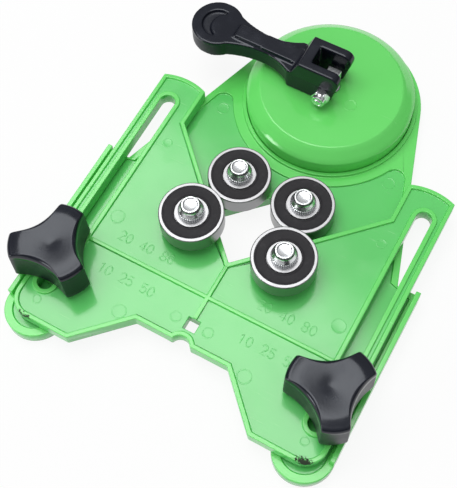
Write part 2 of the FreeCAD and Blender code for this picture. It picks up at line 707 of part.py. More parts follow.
def make_cam_lever():
    """Forked cam with a waisted, ridged arm and a round thumb pad, and the bolt and nut that it turns on."""
    lever = new_body("cam_lever")
    under = d.pivot_high - d.cam_clear
    end = d.cam_round - d.cam_throw
    tip = end + d.fork_lean
    half = d.fork_wide / 2
    pad_side = d.pad_round / ROOT_TWO
    pad_front = -d.pad_at + pad_side
    front_run, front_rise = d.neck_at - d.heel_back, half - d.neck_half
    front_round = (front_run * front_run + front_rise * front_rise) / 2 / front_rise
    back_run, back_rise = -d.neck_at - pad_front, pad_side - d.neck_half
    back_round = (back_run * back_run + back_rise * back_rise) / 2 / back_rise
    plan = new_sketch(lever, level=-under)
    outline(plan, [
        (tip, -half), (tip, half), (-d.heel_back, half, front_round, -1),
        (-d.neck_at, d.neck_half, back_round, -1), (pad_front, pad_side, d.pad_round, 1),
        (-d.pad_at - d.pad_round, 0, d.pad_round, 1), (pad_front, -pad_side, back_round, -1),
        (-d.neck_at, -d.neck_half, front_round, -1), (-d.heel_back, -half),
    ])
    pad(plan, d.fork_top + under)

    # Side view: the flanks' top, the underside behind the heel, and the fork's end from the cam to the brow
    far = -d.pad_at - d.pad_round * 2
    beyond = end + d.pad_round
    high, low = d.fork_top + d.pad_round, -under - d.pad_round
    across = d.pad_at
    sides = new_sketch(lever, "XZ_Plane")
    outline(sides, [
        (-d.fork_back, d.fork_top), (-d.fork_back - d.back_slope, d.pad_top), (far, d.pad_top), (far, high),
        (-d.fork_back, high),
    ])
    outline(sides, [
        (-d.heel_back, -under), (-d.heel_back - d.heel_slope, -d.arm_under), (pad_front, -d.pad_under),
        (far, -d.pad_under), (far, low), (-d.heel_back, low),
    ])
    outline(sides, [
        (end - d.cam_round, -under, d.cam_round, 1), (end, d.cam_round - under),
        (tip, d.brow_at, d.brow_round, 1), (d.brow_start, d.fork_top), (d.brow_start, high), (beyond, high),
        (beyond, low), (end - d.cam_round, low),
    ])
    pocket(sides, across, both_ways=True)

    ridge = new_sketch(lever)
    outline(ridge, [
        (-d.ridge_at, -d.ridge_tip), (-d.fork_back, -d.ridge_root), (-d.fork_back, d.ridge_root),
        (-d.ridge_at, d.ridge_tip),
    ])
    pad(ridge, d.fork_top)
    crest_x = -d.fork_back - d.back_slope * (d.fork_top - d.arm_top) / (d.fork_top - d.pad_top)
    crest = new_sketch(lever, "XZ_Plane")
    outline(crest, [
        (-d.fork_back, d.fork_top), (crest_x, d.arm_top), (d.ridge_rise - d.ridge_at, d.arm_top),
        (-d.ridge_at, d.pad_top), (far, d.pad_top), (far, high), (-d.fork_back, high),
    ])
    pocket(crest, across, both_ways=True)

    fork = new_sketch(lever, level=d.fork_top)
    gap = d.fork_gap / 2
    outline(fork, [(-d.fork_deep, -gap), (end * 2, -gap), (end * 2, gap), (-d.fork_deep, gap)])
    pocket(fork, d.fork_top + under)
    eye = new_sketch(lever, "XZ_Plane")
    disc(eye, 0, 0, d.pivot_size / 2)
    pocket(eye, d.fork_wide, both_ways=True)

    # Thumb rest: a crescent between two arcs that meet in a point at each end
    dish = new_sketch(lever, level=d.pad_top)
    tip_x, tip_y = -d.pad_at + d.dish_out * cosine(d.dish_turn), d.dish_out * sine(d.dish_turn)
    hollow = tip_x + d.pad_at + d.dish_inner
    inner_round = (hollow * hollow + tip_y * tip_y) / 2 / hollow
    outline(dish, [
        (tip_x, tip_y, d.dish_out, 1), (-d.pad_at - d.dish_out, 0, d.dish_out, 1),
        (tip_x, -tip_y, inner_round, -1), (-d.pad_at - d.dish_inner, 0, inner_round, -1),
    ])
    pocket(dish, d.pad_dish)
    place(lever, d.pivot_side, d.lever_side, pivot_level)

    bolt = new_body("pivot_bolt")
    shank = new_sketch(bolt, "XZ_Plane", level=-half)
    disc(shank, 0, 0, d.pivot_size / 2)
    pad(shank, d.fork_wide + d.pivot_nut_thick + d.pivot_collar_high + d.pivot_end)
    cap = new_sketch(bolt, "XZ_Plane", level=-half - d.pivot_head_high)
    disc(cap, 0, 0, d.pivot_head / 2)
    pad(cap, d.pivot_head_high)
    place(bolt, d.pivot_side, d.lever_side, pivot_level)
    nut = new_body("pivot_nut")
    face = new_sketch(nut, "XZ_Plane", level=half)
    hexagon(face, 0, 0, d.pivot_nut_across)
    disc(face, 0, 0, d.pivot_size / 2)
    pad(face, d.pivot_nut_thick)
    collar = new_sketch(nut, "XZ_Plane", level=half + d.pivot_nut_thick)
    disc(collar, 0, 0, d.pivot_collar / 2)
    disc(collar, 0, 0, d.pivot_size / 2)
    pad(collar, d.pivot_collar_high)
    place(nut, d.pivot_side, d.lever_side, pivot_level)


def make_everything():
    make_base_plate()
    make_slide_plate()
    make_vacuum_foot()
    make_cam_lever()
    turns = {"left": d.left_knob_turn, "right": d.right_knob_turn}
    for side_name, side in SIDES.items():
        make_clamp(side_name, side, turns[side_name])
        stations = (
            ("front", d.front_side * side, -d.front_at, front_seat_level, slide_bottom),
            ("rear", d.rear_side * side, -d.rear_at, rear_seat_level, as_size(0)),
        )
        for end, x, y, seat_level, bottom in stations:
            make_bearing(f"{end}_{side_name}", x, y, seat_level)
            make_screw(f"{end}_{side_name}", x, y, seat_level, bottom)


def write_everything():
    """Stops if anything failed to build, then writes one file per piece."""
    doc.recompute()
    failed = [item.Name for item in doc.Objects if {"Invalid", "Error"} & set(item.State)]
    failed += [name for name, piece in pieces.items() if piece.Shape.isNull() or not piece.Shape.isValid()]
    if failed:
        raise RuntimeError(f"these did not build: {failed}")
    os.makedirs("parts", exist_ok=True)
    for name, piece in pieces.items():
        piece.Shape.exportStep(f"parts/{name}.step")
        box = piece.Shape.BoundBox
        print(f"{name}: {len(piece.Shape.Solids)} solid(s), {piece.Shape.Volume:.1f} mm3,"
              f" z {box.ZMin:.2f} to {box.ZMax:.2f}")


make_everything()
write_everything()
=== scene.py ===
# %% [markdown]
# # Tile hole guide with a vacuum foot
# The guide holds a hole saw steady on a tile. Its frame comes finished from the solid model, so this lesson
# loads that frame, lights it, gives every piece its finish and adds the small forms that the solids leave
# out.

# %% Load the frame and keep its box
import json
import math
import bpy
import numpy as np
from mathutils import Matrix, Vector


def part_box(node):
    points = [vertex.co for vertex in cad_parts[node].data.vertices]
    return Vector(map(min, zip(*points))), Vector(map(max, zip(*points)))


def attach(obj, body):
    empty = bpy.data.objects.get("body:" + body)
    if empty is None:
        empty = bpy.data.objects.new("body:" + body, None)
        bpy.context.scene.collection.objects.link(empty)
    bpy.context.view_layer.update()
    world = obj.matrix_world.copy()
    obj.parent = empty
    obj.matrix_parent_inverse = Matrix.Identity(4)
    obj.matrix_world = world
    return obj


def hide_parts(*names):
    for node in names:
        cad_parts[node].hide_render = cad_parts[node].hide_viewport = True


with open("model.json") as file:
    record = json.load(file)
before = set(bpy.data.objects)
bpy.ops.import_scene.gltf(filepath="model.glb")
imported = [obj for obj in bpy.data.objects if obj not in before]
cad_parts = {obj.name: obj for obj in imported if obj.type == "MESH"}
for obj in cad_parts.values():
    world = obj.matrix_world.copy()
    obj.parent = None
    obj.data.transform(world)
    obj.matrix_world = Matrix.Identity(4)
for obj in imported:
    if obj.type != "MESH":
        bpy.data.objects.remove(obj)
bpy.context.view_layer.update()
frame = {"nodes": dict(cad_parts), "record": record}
MM = 0.001
NODES = frame["nodes"]
BODY_OF = {node: body for body, nodes in frame["record"]["behaviour"]["bodies"].items() for node in nodes}


def span(node):
    """Lowest and highest corner of a piece, in millimetres."""
    low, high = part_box(node)
    return np.array(low) / MM, np.array(high) / MM


# %% [markdown]
# ## The camera
# The picture was taken from above, a little to the right of the bit, with a longish lens. A camera is fixed
# by where it stands, the way it looks and which way is up in the picture. Fitting those to the four
# bearings, whose size is known, and to the plates' corners gave the values below, so the render can be laid
# over the picture.

# %% Camera
PICTURE = (457, 488)
FOCAL_PIXELS = 1001.75
CAMERA_AT = Vector((73.24, -190.24, 312.98)) * MM
LOOKS_ALONG = Vector((-0.22862, 0.36062, -0.90426))
PICTURE_UP = Vector((-0.42797, 0.79706, 0.42607))

camera = bpy.data.objects.new("camera", bpy.data.cameras.new("camera"))
camera.data.sensor_width = 36.0
camera.data.lens = FOCAL_PIXELS / max(PICTURE) * camera.data.sensor_width
camera.data.clip_start = 0.01
back = -LOOKS_ALONG.normalized()
right = PICTURE_UP.cross(back).normalized()
turn = Matrix((right, back.cross(right), back)).transposed()
camera.matrix_world = Matrix.Translation(CAMERA_AT) @ turn.to_4x4()
bpy.context.scene.collection.objects.link(camera)
bpy.context.scene.camera = camera
print("lens", round(camera.data.lens, 1), "mm")

# %% [markdown]
# ## Writing shader sums as Python
# A finish is a graph of nodes, and graphs are tiresome to wire by hand. Here a small class stands for one
# value in the graph, so that `1 - wear * 0.3` adds its own Math nodes, and one method makes every other
# kind of node.


# %% A value in a finish, and the finish itself
class Flow:
    """A socket whose sums, products and quotients add Math nodes to its graph."""

    def __init__(self, finish, socket):
        self.finish = finish
        self.socket = socket

    def sum(self, operation, other, turned=False):
        """Adds a Math node for this value and another, with the other first where turned."""
        pair = (other, self) if turned else (self, other)
        return self.finish.node("Math", {"operation": operation}, dict(enumerate(pair)))

    def __add__(self, other):
        return self.sum("ADD", other)

    def __sub__(self, other):
        return self.sum("SUBTRACT", other)

    def __mul__(self, other):
        return self.sum("MULTIPLY", other)

    def __truediv__(self, other):
        return self.sum("DIVIDE", other)

    def __rsub__(self, other):
        return self.sum("SUBTRACT", other, turned=True)

    __radd__ = __add__
    __rmul__ = __mul__


class Finish:
    """A material under construction, with its Principled shader at hand."""

    def __init__(self, name, **constants):
        self.material = bpy.data.materials.new(name)
        self.material.use_nodes = True
        self.nodes = self.material.node_tree.nodes
        self.shader = self.nodes["Principled BSDF"]
        for socket, value in constants.items():
            self.shader.inputs[socket.replace("_", " ")].default_value = value

    def node(self, kind, settings=None, sockets=None, out=0):
        """Adds a node, sets it up, feeds its sockets with values or flows, and gives one output."""
        made = self.nodes.new("ShaderNode" + kind)
        for name, value in (settings or {}).items():
            setattr(made, name, value)
        for name, value in (sockets or {}).items():
            self.feed(made.inputs[name], value)
        return Flow(self, made.outputs[out])

    def feed(self, socket, value):
        """Links a flow to a socket, or sets the socket to a plain value."""
        if isinstance(value, Flow):
            self.material.node_tree.links.new(value.socket, socket)
        else:
            socket.default_value = value

    def spot(self, centre=(0, 0, 0), turn=0.0, stretch=(1, 1, 1)):
        """The point being shaded, in metres, measured from a centre, turned about z and stretched."""
        here = self.node("TexCoord", out="Object")
        away = self.node("VectorMath", {"operation": "SUBTRACT"}, {0: here, 1: centre})
        return self.node("Mapping", {}, {"Vector": away, "Rotation": (0, 0, turn), "Scale": stretch})

    def height(self):
        """Height of the point being shaded above the tile, in metres."""
        return self.node("SeparateXYZ", {}, {0: self.node("TexCoord", out="Object")}, out="Z")

    def away_from(self, centre, counts=(1, 1, 0)):
        """Distance in metres from a centre, each axis counted so much: by default from an upright line."""
        flat = self.node("VectorMath", {"operation": "MULTIPLY"}, {0: self.spot(centre), 1: counts})
        return self.node("VectorMath", {"operation": "LENGTH"}, {0: flat}, out="Value")

    def noise(self, where, scale, detail=3.0, rough=0.55):
        """Random clouds from 0 to 1, with so many to the metre."""
        sockets = {"Vector": where, "Scale": scale, "Detail": detail, "Roughness": rough}
        return self.node("TexNoise", {}, sockets)

    def steps(self, value, low, high):
        """0 at low, 1 at high and a smooth rise between."""
        return self.node("MapRange", {"interpolation_type": "SMOOTHSTEP"},
                         {"Value": value, "From Min": low, "From Max": high})

    def blend(self, share, first, second):
        """A colour that goes from the first to the second with the share."""
        pair = [colour if isinstance(colour, Flow) else (*colour, 1.0) for colour in (first, second)]
        return self.node("Mix", {"data_type": "RGBA"}, {0: share, 6: pair[0], 7: pair[1]}, out=2)

    def relief(self, height, deep):
        """Tilts the shading as if the surface rose by deep metres where height is 1."""
        return self.node("Bump", {}, {"Height": height, "Distance": deep, "Strength": 1.0})

    def wear(self, **sockets):
        """Feeds the shader's sockets and gives the finished material."""
        for name, value in sockets.items():
            self.feed(self.shader.inputs[name.replace("_", " ")], value)
        return self.material


print("shader sums ready")

# %% [markdown]
# ## The studio
# A product picture has a white ground and one broad soft lamp. On flat glossy plastic a lamp shows as a
# pale haze when it hangs where the camera's gaze would bounce to. Here the front panels are hazy and the
# dome is not, so the lamp covers only the bounces of the front. A weak low lamp at the front left lifts the
# faces that look forward. The floor is a pale sheet that still takes the object's shadow: camera rays and
# reflections see it mostly as plain white, while the light that it bounces stays natural. The sky is
# brighter overhead, so upright steel keeps its dark sides.

# %% Floor and sky
FLOOR_WHITE = 0.88
GLOW_SHARE = 0.9
SKY_EDGE, SKY_TOP = 0.08, 0.67
FLOOR_REACH, FLOOR_LEVEL = 40.0, -0.2 * MM
CORNERS = ((-1, -1), (1, -1), (1, 1), (-1, 1))
PLAIN_RAYS = ("Is Camera Ray", "Is Glossy Ray", "Is Transmission Ray")

floor_mesh = bpy.data.meshes.new("floor")
floor_corners = [(x * FLOOR_REACH, y * FLOOR_REACH, FLOOR_LEVEL) for x, y in CORNERS]
floor_mesh.from_pydata(floor_corners, [], [(0, 1, 2, 3)])
floor = bpy.data.objects.new("floor", floor_mesh)
bpy.context.scene.collection.objects.link(floor)

sheet = Finish("studio_floor", Roughness=0.9, Base_Color=(FLOOR_WHITE, FLOOR_WHITE, FLOOR_WHITE, 1))
seen = [sheet.node("LightPath", out=name) for name in PLAIN_RAYS]
glow = sheet.node("Emission", {}, {"Color": (1, 1, 1, 1), "Strength": 1.0})
share = sheet.node("Math", {"operation": "MINIMUM"}, {0: seen[0] + seen[1] + seen[2], 1: 1.0}) * GLOW_SHARE
look = sheet.node("MixShader", {}, {0: share, 1: Flow(sheet, sheet.shader.outputs[0]), 2: glow})
sheet.feed(sheet.nodes["Material Output"].inputs["Surface"], look)
floor_mesh.materials.append(sheet.material)

world = bpy.data.worlds.new("sky")
world.use_nodes = True
bpy.context.scene.world = world
sky_nodes, sky_links = world.node_tree.nodes, world.node_tree.links
way_up = sky_nodes.new("ShaderNodeSeparateXYZ")
level = sky_nodes.new("ShaderNodeMapRange")
level.inputs["To Min"].default_value = SKY_EDGE
level.inputs["To Max"].default_value = SKY_TOP
sky_links.new(sky_nodes.new("ShaderNodeTexCoord").outputs["Generated"], way_up.inputs[0])
sky_links.new(way_up.outputs["Z"], level.inputs["Value"])
sky_links.new(level.outputs["Result"], sky_nodes["Background"].inputs["Strength"])
sky_nodes["Background"].inputs["Color"].default_value = (1, 1, 1, 1)
print("white floor and a sky from", SKY_EDGE, "to", SKY_TOP)

# %% Lamps
MIDDLE = Vector((0, -50, 5)) * MM


def lamp(name, at, size, power):
    """A square soft lamp that faces the middle of the guide."""
    data = bpy.data.lights.new(name, "AREA")
    data.size = size
    data.energy = power
    made = bpy.data.objects.new(name, data)
    way = MIDDLE - at
    made.matrix_world = Matrix.Translation(at) @ way.to_track_quat("-Z", "Y").to_matrix().to_4x4()
    bpy.context.scene.collection.objects.link(made)


lamp("main", Vector((-0.25, 0.025, 1.0)), 0.68, 6.1)
lamp("front", Vector((-0.75, -1.0, 0.28)), 0.42, 4.0)
bpy.context.scene.view_settings.view_transform = "Standard"
print("two lamps")

# %% [markdown]
# ## Green moulded plastic
# The plates and the dome are one bright green. The mould was polished, so the panels mirror the lamp. Their
# raised rims and every face off the panel floor are painted a clearer green than that floor, as painted
# highlight for the light they catch. Such plastic is never one colour: melt flow leaves faint clouds,
# handling leaves duller patches and hair scratches. The gates where the melt came in left torn scars, which
# have gone almost black.


# %% Green plastic
def green_plastic(name, floor_level, scars=()):
    """Green with a calmer tone on the panel floor, which lies at one height, and dark scars at the gates.

    Every other face is painted a clearer green, a painted highlight for the light that the rims catch.
    """
    finish = Finish(name, IOR=1.5, Specular_IOR_Level=0.65)
    here = finish.spot()
    clouds = finish.noise(here, 38.0, 4.0)
    grain = finish.noise(here, 1500.0, 2.0)
    scratch = finish.steps(finish.noise(finish.spot(turn=0.6, stretch=(60, 1500, 200)), 1.0, 2.0), 0.68, 0.76)
    handled = finish.steps(finish.noise(here, 120.0, 5.0), 0.45, 0.7)
    panel = 1 - finish.steps(finish.height(), (floor_level + 0.10) * MM, (floor_level + 0.30) * MM)
    # Painted highlight: faces off the panel floor get the clearer green, for the light the rims catch.
    painted_lit_green = finish.blend(clouds, (0.125, 0.690, 0.125), (0.155, 0.750, 0.155))
    floors = finish.blend(clouds, (0.105, 0.590, 0.135), (0.130, 0.660, 0.160))
    colour = finish.blend(panel, painted_lit_green, floors)
    colour = finish.blend(scratch * 0.12, colour, (0.40, 0.80, 0.42))
    rough = 0.12 + handled * 0.06 + scratch * 0.14 + grain * 0.04
    for centre in scars:
        torn = finish.steps(finish.noise(here, 1300.0, 4.0, 0.75), 0.38, 0.62) * 0.8 + 0.45
        scar = 1 - finish.steps(finish.away_from(centre, (0.45, 0.9, 0.8)) / torn, 1.4 * MM, 1.8 * MM)
        colour = finish.blend(scar * 0.97, colour, (0.010, 0.008, 0.006))
        rough = rough + scar * 0.7
    tilt = finish.relief(grain * 0.7 - scratch * 0.5 + clouds * 1.5, 0.010 * MM)
    return finish.wear(Base_Color=colour, Roughness=rough, Normal=tilt)


BASE_FLOOR, SLIDE_FLOOR = 4.2, 9.4
GATES = [np.array(place) * MM for place in ((-50.3, -124.2, 9.9), (52.5, -122.6, 9.9))]
GREENS = {
    "slide_plate": green_plastic("slide_green", SLIDE_FLOOR, GATES),
    "base_plate": green_plastic("base_green", BASE_FLOOR),
    "suction_housing": green_plastic("dome_green", 0.0),
}
print("made", [green.name for green in GREENS.values()])

# %% [markdown]
# ## Black plastic, steel, rubber and the rest
# The knobs and the lever are black, with grained sides, polished edges and a top that thumbs have dulled,
# so height decides how rough they are. Bearing steel is ground in circles, so its lines are rings round
# each bearing's own axis.


# %% Black plastic
KNOB_BRINK = (span("knob_left")[1][2] - 0.6) * MM


def black_plastic():
    """Black that is rough on the sides, smooth on the edges and satin above the knobs' brink."""
    finish = Finish("black_plastic", IOR=1.5, Specular_IOR_Level=0.42, Specular_Tint=(0.90, 0.94, 1.0, 1))
    here = finish.spot()
    grain = finish.noise(here, 1700.0, 3.0)
    rubbed = finish.steps(finish.noise(here, 150.0, 5.0), 0.45, 0.75)
    top = finish.steps(finish.height(), KNOB_BRINK - 0.4 * MM, KNOB_BRINK)
    sides = 1 - finish.steps(finish.height(), KNOB_BRINK - 2.7 * MM, KNOB_BRINK - 1.7 * MM)
    rough = 0.09 + top * 0.09 + sides * 0.28 + rubbed * 0.07 + grain * 0.05
    colour = finish.blend(rubbed * 0.5, (0.005, 0.006, 0.012), (0.011, 0.013, 0.022))
    tilt = finish.relief(grain, 0.016 * MM)
    return finish.wear(Base_Color=colour, Roughness=rough, Normal=tilt)


BLACK = black_plastic()
print("made", BLACK.name)


# %% Steel, rubber, nylon and brass
def shaded(tint, share):
    """A tint times a share."""
    return tuple(channel * share for channel in tint)


def turned_steel(name, centre, tint, low_rough, lines, face_round=1.0):
    """Steel with fine rings round an upright axis through the centre.

    Past the radius where its flat faces end, its outer wall is painted darker, as painted shade on the
    upright side, and is a little smoother.
    """
    finish = Finish(name, Metallic=1.0)
    where = finish.spot(centre)
    radius = finish.away_from(centre)
    ring = finish.node("CombineXYZ", {}, {"X": radius * lines, "Y": finish.height() * lines})
    rings = finish.noise(ring, 1.0, 3.0)
    smudge = finish.noise(where, 260.0, 4.0)
    wall = finish.steps(radius, face_round - 0.2 * MM, face_round)
    colour = finish.blend(smudge, tint, shaded(tint, 0.84))
    # Painted shade: the upright outer wall is painted darker than the flat faces.
    colour = finish.blend(wall, colour, shaded(tint, 0.58))
    tilt = finish.relief(rings, 0.004 * MM)
    rough = low_rough + rings * 0.06 + smudge * 0.05 - wall * 0.08
    return finish.wear(Base_Color=colour, Roughness=rough, Normal=tilt)


def soft_rubber(name, dark, light):
    """Matte rubber with a moulded grain and a little dust."""
    finish = Finish(name, IOR=1.5, Specular_IOR_Level=0.3)
    here = finish.spot()
    grain = finish.noise(here, 2200.0, 3.0)
    dust = finish.steps(finish.noise(here, 420.0, 5.0), 0.5, 0.8)
    return finish.wear(Base_Color=finish.blend(dust * 0.6, dark, light), Roughness=0.46 + grain * 0.2,
                       Normal=finish.relief(grain, 0.02 * MM))


def plain_grain(name, dark, light, metal, rough):
    """A quiet two-tone finish for the pieces that lie hidden."""
    finish = Finish(name, Metallic=metal)
    grain = finish.noise(finish.spot(), 700.0, 4.0)
    return finish.wear(Base_Color=finish.blend(grain, dark, light), Roughness=rough + grain * 0.12)


RING_ROUND = 10.8
BEARING_STEEL = ((0.46, 0.46, 0.47), 0.34, 9000.0, RING_ROUND * MM)
ZINC_PLATE = ((0.84, 0.86, 0.88), 0.16, 5000.0)
SEAL = soft_rubber("seal_rubber", (0.014, 0.013, 0.016), (0.034, 0.032, 0.036))
CUP = soft_rubber("cup_rubber", (0.014, 0.014, 0.015), (0.034, 0.033, 0.032))
NYLON = plain_grain("cage_nylon", (0.62, 0.57, 0.43), (0.74, 0.70, 0.57), 0.0, 0.45)
BRASS = plain_grain("insert_brass", (0.66, 0.46, 0.18), (0.80, 0.60, 0.27), 1.0, 0.28)
print("made", SEAL.name, CUP.name, NYLON.name, BRASS.name)

# %% Put the finishes on
BY_SLOT = {"black_plastic": BLACK, "seal_rubber": SEAL, "cup_rubber": CUP, "cage_nylon": NYLON,
           "insert_brass": BRASS}
SLOT_OF = {row["node"]: row["material_slot"] for row in frame["record"]["subparts"]}
FINISH_OF = {}
for name, node in NODES.items():
    slot = SLOT_OF[name]
    finish = GREENS.get(name) or BY_SLOT.get(slot)
    if finish is None:
        low, high = span(name)
        metal = BEARING_STEEL if slot == "bearing_steel" else ZINC_PLATE
        finish = turned_steel(f"{name}_steel", (low + high) / 2 * MM, *metal)
    FINISH_OF[name] = finish
    node.data.materials.clear()
    node.data.materials.append(finish)
print("finished", len(NODES), "pieces")

# %% [markdown]
# ## Softer edges
# Moulded and pressed edges are never sharp: a small round catches a thin line of light. The solids keep
# plain edges, so a bevel goes over the plates and the dome here. It needs the loose triangles joined first,
# which the weld does. The lever is rounder still. It is divided into fine cubes, whose skin is then
# smoothed like a pebble.


# %% Rounds on the moulded edges
def soften(name, width, angle=32):
    """Joins a solid's triangles and rounds the edges that turn by more than the angle."""
    weld = NODES[name].modifiers.new("join", "WELD")
    weld.merge_threshold = 1e-6
    bevel = NODES[name].modifiers.new("round", "BEVEL")
    bevel.width = width * MM
    bevel.segments = 2
    bevel.limit_method = "ANGLE"
    bevel.angle_limit = math.radians(angle)
    bevel.harden_normals = True
    bevel.use_clamp_overlap = False


def worn_round(name, cube, passes):
    """Divides a solid into cubes and smooths their skin a number of times."""
    cubes = NODES[name].modifiers.new("cubes", "REMESH")
    cubes.voxel_size = cube * MM
    cubes.use_smooth_shade = True
    smooth = NODES[name].modifiers.new("smooth", "SMOOTH")
    smooth.iterations = passes


for name, width in (("slide_plate", 0.28), ("base_plate", 0.28), ("suction_housing", 0.35)):
    soften(name, width)
worn_round("cam_lever", 0.3, 8)
print("softened four pieces")

# %% [markdown]
# ## Surfaces from grids
# Most small metal and rubber forms are turned: a profile carried once round an axis. A grid of points does
# that in one go with whole arrays. Rounding a profile's corners first gives the light something to catch. A
# profile that would end on the axis ends at a tiny core instead, and a small flat face closes it there.


# %% Profiles and grids
CORE = 0.02


def eased(corners, ease, loop=False, steps=4):
    """A profile with rounded corners.

    A corner c with a and b at most one ease away along its two edges becomes the curve
    (1 - t) squared times a, plus 2 t (1 - t) times c, plus t squared times b.
    """
    corner = np.array(corners, float)
    t = np.linspace(0, 1, steps)[:, None, None]

    def towards(other):
        way = other - corner
        length = np.linalg.norm(way, axis=1, keepdims=True)
        return corner + way / length * np.minimum(ease, length * 0.45)

    before, after = towards(np.roll(corner, 1, axis=0)), towards(np.roll(corner, -1, axis=0))
    curve = (1 - t) ** 2 * before + 2 * t * (1 - t) * corner + t ** 2 * after
    rows = curve.transpose(1, 0, 2).reshape(-1, 2)
    return rows if loop else np.vstack([corner[:1], rows[steps:-steps], corner[-1:]])


def around(columns):
    """Angles that run once round, without the last that would meet the first."""
    return np.linspace(0, 2 * np.pi, columns, endpoint=False)


def ringed(radius, height, angle):
    """Grid of (r cos a, r sin a, h), where r and h may change by row and by angle."""
    radius, height, angle = np.broadcast_arrays(radius, height, angle)
    return np.stack([radius * np.cos(angle), radius * np.sin(angle), height], axis=-1)


def turned(profile, columns=96):
    """A profile of (radius, height) rows carried once round the z axis."""
    radius, height = np.array(profile, float).T
    return ringed(radius[:, None], height[:, None], around(columns)[None])


print("an eased square has", len(eased(CORNERS, 0.1, loop=True)), "points")


# %% Skins and pieces
def skin(grid, loop=False):
    """Points and faces of a grid whose columns run round.

    A face joins the points (i, j), (i, j + 1), (i + 1, j + 1) and (i + 1, j), with j counted round. A loop's
    last row joins its first, and otherwise a flat many-sided face closes each end.
    """
    number = np.arange(grid.shape[0] * grid.shape[1]).reshape(grid.shape[:2])
    lower, upper = (number, np.roll(number, -1, axis=0)) if loop else (number[:-1], number[1:])
    quads = np.stack([lower, np.roll(lower, -1, 1), np.roll(upper, -1, 1), upper], axis=-1).reshape(-1, 4)
    ends = [] if loop else [number[:1, ::-1], number[-1:]]
    return grid.reshape(-1, 3), [quads, *ends]


def make_piece(name, patches, at, body, finish, sharp=40):
    """Joins patches given in millimetres, puts them at a place and hangs the piece on a body."""
    points, faces, count = [], [], 0
    for spots, blocks in patches:
        for block in blocks:
            faces += (block + count).tolist()
        points.append(spots + np.asarray(at, float))
        count += len(spots)
    mesh = bpy.data.meshes.new(name)
    mesh.from_pydata(np.vstack(points) * MM, [], faces)
    mesh.shade_smooth()
    mesh.set_sharp_from_angle(angle=math.radians(sharp))
    mesh.materials.append(finish)
    made = bpy.data.objects.new(name, mesh)
    bpy.context.scene.collection.objects.link(made)
    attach(made, body)
    return made


def stand_in(node, patches, at, sharp=40):
    """A finer piece for a solid, on the same body and with the same finish."""
    made = make_piece(f"{node}_fine", patches, at, BODY_OF[node], FINISH_OF[node], sharp)
    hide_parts(node)
    print(made.name, len(made.data.polygons), "faces")


# %% [markdown]
# ## Bearing screws
# Each bearing is held by a bright screw with a knurled collar, a sloping shoulder and a small round cap
# with a dimple. It is a turned profile whose radius also changes with the angle where the collar is
# knurled. Modelling the ridges rather than painting them keeps their shadows right from every side.

# %% Screws with knurled collars
RIDGES, KNURL_DEEP, COLLAR_FROM, COLLAR_HIGH = 36, 0.5, 4.05, 1.95
BOWL_ROUND, BOWL_FLOOR, BOWL_DEEP = 2.1, 4.7, 0.2


def screw(tip):
    """Turned profile with a knurled collar.

    The collar's radius is less by the knurl's depth times the cosine of the ridges, where that is above 0.
    The dimple rises from its floor by its depth times the radius squared, as a share of its edge's.
    """
    bowl = np.linspace(BOWL_ROUND, CORE, 10)
    dimple = np.stack([bowl, BOWL_FLOOR + BOWL_DEEP * (bowl / BOWL_ROUND) ** 2], axis=-1)
    profile = np.vstack([eased([
        (CORE, tip), (2.1, tip), (2.5, tip + 0.4), (2.5, 0), (4.15, 0), (4.4, 0.2), (4.4, 0.6), (4.4, 1.2),
        (4.4, 1.7), (4.2, 1.9), (3.85, 2.0), (3.85, 2.1), (4.1, 2.25), (4.08, 2.6), (3.3, 3.7), (3.1, 4.2),
        (3.1, 5.1), (2.9, 5.3), (2.5, 5.3), (2.25, 5.05), (BOWL_ROUND, BOWL_FLOOR + BOWL_DEEP),
    ], 0.12), dimple[1:]])
    radius, height = profile.T[:, :, None]
    angle = around(RIDGES * 8)[None]
    knurled = (radius > COLLAR_FROM) & (height < COLLAR_HIGH)
    ridge = KNURL_DEEP * knurled * np.maximum(np.cos(angle * RIDGES), 0)
    return skin(ringed(radius - ridge, height, angle))


BEARINGS = [f"{end}_{side}" for end in ("front", "rear") for side in ("left", "right")]
for bearing in BEARINGS:
    low, high = span(f"{bearing}_screw")
    middle = (low + high) / 2
    top = span(f"{bearing}_inner_ring")[1][2]
    stand_in(f"{bearing}_screw", [screw(low[2] - top)], (middle[0], middle[1], top), 32)

# %% [markdown]
# ## Bearing seals
# A rubber seal is more than a flat ring: it has a bead at its outer edge, a shallow hollow and a lip at the
# inner ring. Its profile is a closed loop, carried round for the upper seal and turned upside down for the
# lower one.

# %% Seals with a bead and a lip
SEAL_LOOP = [(5.75, 2.66), (9.84, 2.66), (9.84, 3.35), (9.3, 3.35), (9.1, 3.26), (6.5, 3.24), (6.3, 3.36),
             (5.95, 3.36), (5.75, 3.24)]


def seal_pair():
    """The closed profile carried round, and its mirror image below."""
    upper = eased(SEAL_LOOP, 0.12, loop=True)
    lower = (upper * (1, -1))[::-1]
    return [skin(turned(loop, 112), loop=True) for loop in (upper, lower)]


for bearing in BEARINGS:
    low, high = span(f"{bearing}_seals")
    stand_in(f"{bearing}_seals", seal_pair(), (low + high) / 2, 30)

# %% [markdown]
# ## Lobed knobs
# A three-lobed knob fits a wet hand. Seen from above its lobes end on one circle and its waists are wide
# hollows, so the outline is a soft minimum of a circle and of three larger circles that stand outside. The
# side leans in a little, as a moulding must. The top is turned: a dish with a dimple, a crest near the
# lobes' ends and a fall outside it.

# %% Knobs
LOBES = 3
LOBE_END, WAIST, WAIST_ROUND, BLUNT = 14.6, 8.35, 20.0, 0.45
KNOB_TOP, EDGE_LOW, EDGE_WIDE = 14.5, 12.2, 1.5
DISH, CREST, FALL, DIMPLE, DIMPLE_ROUND = 0.5, 10.1, 1.0, 0.3, 2.7
BUSH_ROUND, BUSH_TOP = 3.98, 9.0
FOOT_SHARE, LEAN = 0.965, 0.024
KNOB_TURNS = {"left": 92.4, "right": 61.7}


